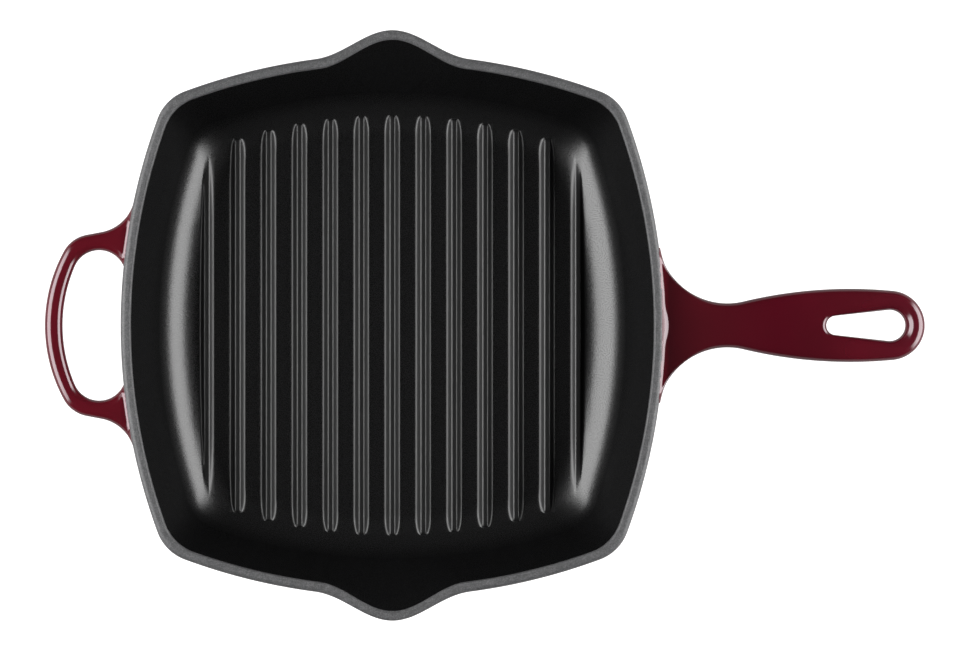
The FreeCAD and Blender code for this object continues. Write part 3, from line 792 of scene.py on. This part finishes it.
def joined_to_wall(x, y, z, bar, cover, fillet):
    """A handle's skin: the bar, a fillet to the wall below the rim, and a hidden face in the wall."""
    body = body_distance(x, y, z)
    reach = fillet * np.clip((PAN_HEIGHT - FILLET_STOP - z) / FILLET_FADE, LEAST_FILLET, 1)
    near_rim = np.clip(1 - beyond_rim(x, y) / OVER_RIM_FADE, 0, 1)
    skin = melt(body, bar, reach) - OVER_WALL - OVER_RIM * near_rim
    hidden = -(wall_distance(x, y, z) + ROOT_SINK)
    rim_side = np.where(z > PAN_HEIGHT - RIM_OUTER, -cover - beyond_rim(x, y), WELL_INSIDE)
    return np.maximum.reduce([skin, hidden, bar - FILLET_SHARE * reach, rim_side])


def long_handle_distance(x, y, z):
    """Distance outside the long handle, with its eye cut and its root run into the wall and the rim."""
    u, w = handle_space(x, z, LONG_DROP, HANDLE_RISE)
    # The top face is lower along its middle at the root, between two low shoulders
    shoulder = MIDDLE_RISE + ease(np.abs(y) / SHOULDER_HALF) * (SHOULDER_RISE - MIDDLE_RISE)
    lift = shoulder * np.exp(-np.maximum(u, 0) / SHOULDER_FADE)
    top = swept_top(x, y, w - lift, LONG_DROP - shoulder, HANDLE_RISE, ROOT_TILT)
    # Its upper edge is crisp on the flare and rounder from the neck on
    rounder = ease((u - FLARE_EDGE_REACH[0]) / (FLARE_EDGE_REACH[1] - FLARE_EDGE_REACH[0]))
    upper_edge = FLARE_EDGE + (LONG_EDGE - FLARE_EDGE) * rounder
    edge = np.where(top > -w - LONG_THICKNESS, upper_edge, LONG_EDGE)
    bar = rounded_plate(long_plan(u, y), top, -w - LONG_THICKNESS, edge)
    # The eye's edge is crisp at its point and worn wide and soft at its round end
    blunt = np.clip((u - EYE_POINT[0]) / (EYE_END[0] - EYE_POINT[0]), 0, 1)
    depth = EYE_POINT_EDGE + (EYE_EDGE - EYE_POINT_EDGE) * blunt
    width = EYE_POINT_EDGE + (EYE_END_EDGE - EYE_POINT_EDGE) * blunt
    eye_gap = (-eye_plan(u, y) + width) * depth / width - depth
    hole = rounded_plate(eye_gap, top, -w - LONG_THICKNESS, depth)
    return joined_to_wall(x, y, z, np.maximum(bar, hole), ROOT_COVER, ROOT_FILLET)


points, faces = skinned(long_handle_distance, *LONG_BOX, LONG_STEP)
long_handle = piece("long_handle", points, faces, burgundy)
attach(long_handle, "root")
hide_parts("long_handle_enamel")

# Helper loop: a round-edged bar on two splayed arms, cast with the opposite wall, for the second hand.
# The same burgundy coat covers it and fills the corners where the arms meet the wall.
LOOP_REACH = 37.0
LOOP_THICKNESS = 9.0
LOOP_EDGE = 3.8
LOOP_DROP = 3.0
LOOP_BOW = 76.0
SHOULDER = 16.0
ARM_REACH = 10.0
ARM_SPREAD = 45.7
ARM_SPLAY = math.radians(11.0)
LOOP_FLARE = 20.0
LOOP_FLARE_REACH = 9.2
LOOP_FLARE_TURN = math.radians(-164.0)
LOBE = 13.0
LOBE_CENTRE = (10.5, 23.9)
GAP_APEX = 28.4
GAP_ROOT_HALF = 10.0
LOOP_ROOT_DEPTH = 13.0
LOOP_ROOT = LOOP_ROOT_DEPTH * math.tan(LEAN) + WALL_THICKNESS
LOOP_FILLET = 1.4
LOOP_ROOT_TILT = math.radians(48.5)
LOOP_COVER = 0.6
LOOP_LIFT = 1.0
LOOP_LIFT_FADE = 9.0
# The sampled box ends past the flares' ends, and short of the far side of their circles
LOOP_BOX = ((-172, -71, 20), (-116, 71, 50))
LOOP_STEP = 0.5


def loop_outer(u, v):
    """Distance outside the loop's outer outline in plan."""
    v = np.abs(v)
    bow_x = LOOP_REACH - LOOP_BOW
    normal = math.pi / 2 - ARM_SPLAY
    along_arm = (math.sin(normal), -math.cos(normal))
    offset = (ARM_REACH - bow_x) * math.cos(normal) + ARM_SPREAD * math.sin(normal)
    rest = math.sqrt((LOOP_BOW - SHOULDER) ** 2 - (offset - SHOULDER) ** 2)
    shoulder = (bow_x + (offset - SHOULDER) * math.cos(normal) + rest * along_arm[0],
                (offset - SHOULDER) * math.sin(normal) + rest * along_arm[1])
    run = (ARM_REACH - LOOP_FLARE_REACH) / math.cos(ARM_SPLAY)
    flare_start = (ARM_REACH - run * along_arm[0], ARM_SPREAD - run * along_arm[1])
    flare_centre = (flare_start[0] + LOOP_FLARE * math.cos(normal),
                    flare_start[1] + LOOP_FLARE * math.sin(normal))
    flare_end = (flare_centre[0] + LOOP_FLARE * math.cos(LOOP_FLARE_TURN),
                 flare_centre[1] + LOOP_FLARE * math.sin(LOOP_FLARE_TURN))
    bow_turn = math.atan2(shoulder[1], shoulder[0] - bow_x)
    at_bow = np.hypot(u - bow_x, v) - LOOP_BOW
    at_shoulder = np.hypot(u - shoulder[0], v - shoulder[1]) - SHOULDER
    at_arm = (u - bow_x) * math.cos(normal) + v * math.sin(normal) - offset
    at_flare = LOOP_FLARE - np.hypot(u - flare_centre[0], v - flare_centre[1])
    at_root = v - flare_end[1]
    travel = (u - shoulder[0]) * along_arm[0] + (v - shoulder[1]) * along_arm[1]
    flare_travel = ((flare_start[0] - shoulder[0]) * along_arm[0]
                    + (flare_start[1] - shoulder[1]) * along_arm[1])
    on_bow = np.arctan2(v, u - bow_x) < bow_turn
    return np.select([on_bow, travel > 0, travel > flare_travel, u > flare_end[0]],
                     [at_bow, at_shoulder, at_arm, at_flare], at_root)


def loop_gap(u, v):
    """Distance outside the gap in the loop in plan."""
    v = np.abs(v)
    inset = GAP_APEX - LOBE_CENTRE[0]
    bow = (inset ** 2 + LOBE_CENTRE[1] ** 2 - LOBE ** 2) / (2 * (inset - LOBE))
    lobe_turn = math.atan2(LOBE_CENTRE[1], LOBE_CENTRE[0] - GAP_APEX + bow)
    to_root = (-LOOP_ROOT - LOBE_CENTRE[0], GAP_ROOT_HALF - LOBE_CENTRE[1])
    wrap = math.atan2(to_root[1], to_root[0]) % math.tau - math.acos(LOBE / math.hypot(*to_root))
    at_bow = np.hypot(u - GAP_APEX + bow, v) - bow
    at_lobe = np.hypot(u - LOBE_CENTRE[0], v - LOBE_CENTRE[1]) - LOBE
    at_flank = (u - LOBE_CENTRE[0]) * math.cos(wrap) + (v - LOBE_CENTRE[1]) * math.sin(wrap) - LOBE
    past = (u - LOBE_CENTRE[0]) * -math.sin(wrap) + (v - LOBE_CENTRE[1]) * math.cos(wrap)
    on_bow = np.arctan2(v, u - GAP_APEX + bow) < lobe_turn
    return np.select([on_bow, past > 0], [at_bow, at_flank], at_lobe)


def loop_distance(x, y, z):
    """Distance outside the helper loop, with its arms run into the wall and the rim."""
    u, w = handle_space(x, z, LOOP_DROP, HANDLE_RISE)
    lift = LOOP_LIFT * np.exp(-np.maximum(u, 0) / LOOP_LIFT_FADE)
    top = swept_top(x, y, w - lift, LOOP_DROP - LOOP_LIFT, HANDLE_RISE, LOOP_ROOT_TILT)
    plan_gap = np.maximum(loop_outer(u, y), -loop_gap(u, y))
    bar = rounded_plate(plan_gap, top, -w - LOOP_THICKNESS, LOOP_EDGE)
    return joined_to_wall(x, y, z, bar, LOOP_COVER, LOOP_FILLET)


points, faces = skinned(loop_distance, *LOOP_BOX, LOOP_STEP)
helper_loop = piece("helper_loop", points, faces, burgundy)
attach(helper_loop, "root")
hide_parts("helper_handle_enamel")

# Studio: a white table, a tall soft box on each side, a dim room and a lamp overhead.
# The overhead lamp lights the colours but is kept out of the reflections, as a dark ceiling is.
TABLE_HALF = 4.0
TABLE_DROP = 0.0003
TABLE_SEEN = 1.0
TABLE_MIRRORED = 0.1
ROOM_LIGHT = 0.045
table_top = bpy.data.meshes.new("table_top")
table_plan = ((-1, -1), (1, -1), (1, 1), (-1, 1))
table_corners = [(x * TABLE_HALF, y * TABLE_HALF, -TABLE_DROP) for x, y in table_plan]
table_top.from_pydata(table_corners, [], [(0, 1, 2, 3)])
table = bpy.data.objects.new("table_top", table_top)
bpy.context.scene.collection.objects.link(table)
white_table, tree, shader = new_material("white_table")
shader.inputs["Base Color"].default_value = (0.32, 0.32, 0.32, 1.0)
shader.inputs["Roughness"].default_value = 0.9
shader.inputs["Specular IOR Level"].default_value = 0.1
shader.inputs["Emission Color"].default_value = (1.0, 1.0, 1.0, 1.0)
seen = tree.nodes.new("ShaderNodeLightPath")
glow = tree.nodes.new("ShaderNodeMath")
glow.operation = "MULTIPLY_ADD"
glow.inputs[1].default_value = TABLE_SEEN
tree.links.new(seen.outputs["Is Camera Ray"], glow.inputs[0])
mirrored = tree.nodes.new("ShaderNodeMath")
mirrored.operation = "MULTIPLY"
mirrored.inputs[1].default_value = TABLE_MIRRORED
either = tree.nodes.new("ShaderNodeMath")
either.operation = "MAXIMUM"
tree.links.new(seen.outputs["Is Glossy Ray"], either.inputs[0])
tree.links.new(seen.outputs["Is Transmission Ray"], either.inputs[1])
tree.links.new(either.outputs["Value"], mirrored.inputs[0])
tree.links.new(mirrored.outputs["Value"], glow.inputs[2])
tree.links.new(glow.outputs["Value"], shader.inputs["Emission Strength"])
table_top.materials.append(white_table)


def soft_box(name, place, turn, width, height, power, even):
    """A lamp that the camera doesn't see, even over a share of its width and fading to its ends."""
    lamp = bpy.data.lights.new(name, "AREA")
    lamp.shape = "RECTANGLE"
    lamp.size = height
    lamp.size_y = width
    lamp.energy = power
    lamp.use_nodes = True
    tree = lamp.node_tree
    spot = tree.nodes.new("ShaderNodeNewGeometry")
    axes = tree.nodes.new("ShaderNodeSeparateXYZ")
    tree.links.new(spot.outputs["Position"], axes.inputs["Vector"])
    aside = tree.nodes.new("ShaderNodeMath")
    aside.operation = "ABSOLUTE"
    tree.links.new(axes.outputs["Y"], aside.inputs[0])
    fade = tree.nodes.new("ShaderNodeMapRange")
    fade.interpolation_type = "SMOOTHSTEP"
    fade.inputs["From Min"].default_value = even * width / 2
    fade.inputs["From Max"].default_value = width / 2
    fade.inputs["To Min"].default_value = 1.0
    fade.inputs["To Max"].default_value = 0.0
    tree.links.new(aside.outputs["Value"], fade.inputs["Value"])
    tree.links.new(fade.outputs["Result"], tree.nodes["Emission"].inputs["Strength"])
    box = bpy.data.objects.new(name, lamp)
    box.location = place
    box.rotation_euler = turn
    box.visible_camera = False
    bpy.context.scene.collection.objects.link(box)
    return box


soft_box("left_soft_box", place=(-1.0, 0.0, 0.895), turn=(0, -math.pi / 2, 0),
         width=1.7, height=1.45, power=50.3, even=0.45)
soft_box("right_soft_box", place=(1.0, 0.0, 0.52), turn=(0, math.pi / 2, 0),
         width=1.7, height=1.0, power=34.7, even=0.45)
overhead = soft_box("overhead_lamp", place=(0.0, 0.0, 1.75), turn=(0, 0, 0),
                    width=1.3, height=1.3, power=1.5, even=0.9)
overhead.visible_glossy = False

room = bpy.data.worlds.new("dim_room")
room.use_nodes = True
bpy.context.scene.world = room
tree = room.node_tree
air = tree.nodes["Background"]
air.inputs["Color"].default_value = (1.0, 1.0, 1.0, 1.0)
seen = tree.nodes.new("ShaderNodeLightPath")
level = tree.nodes.new("ShaderNodeMapRange")
level.inputs["To Min"].default_value = ROOM_LIGHT
level.inputs["To Max"].default_value = 1.0
tree.links.new(seen.outputs["Is Camera Ray"], level.inputs["Value"])
tree.links.new(level.outputs["Result"], air.inputs["Strength"])

lens = bpy.data.cameras.new("camera")
lens.sensor_width = 36.0
lens.lens = 113.92
lens.shift_x = 0.0955
lens.shift_y = -0.0001
lens.clip_end = 20.0
camera = bpy.data.objects.new("camera", lens)
camera.location = (0.0, 0.0, 1.545)
bpy.context.scene.collection.objects.link(camera)
bpy.context.scene.camera = camera
bpy.context.scene.view_settings.view_transform = "Standard"
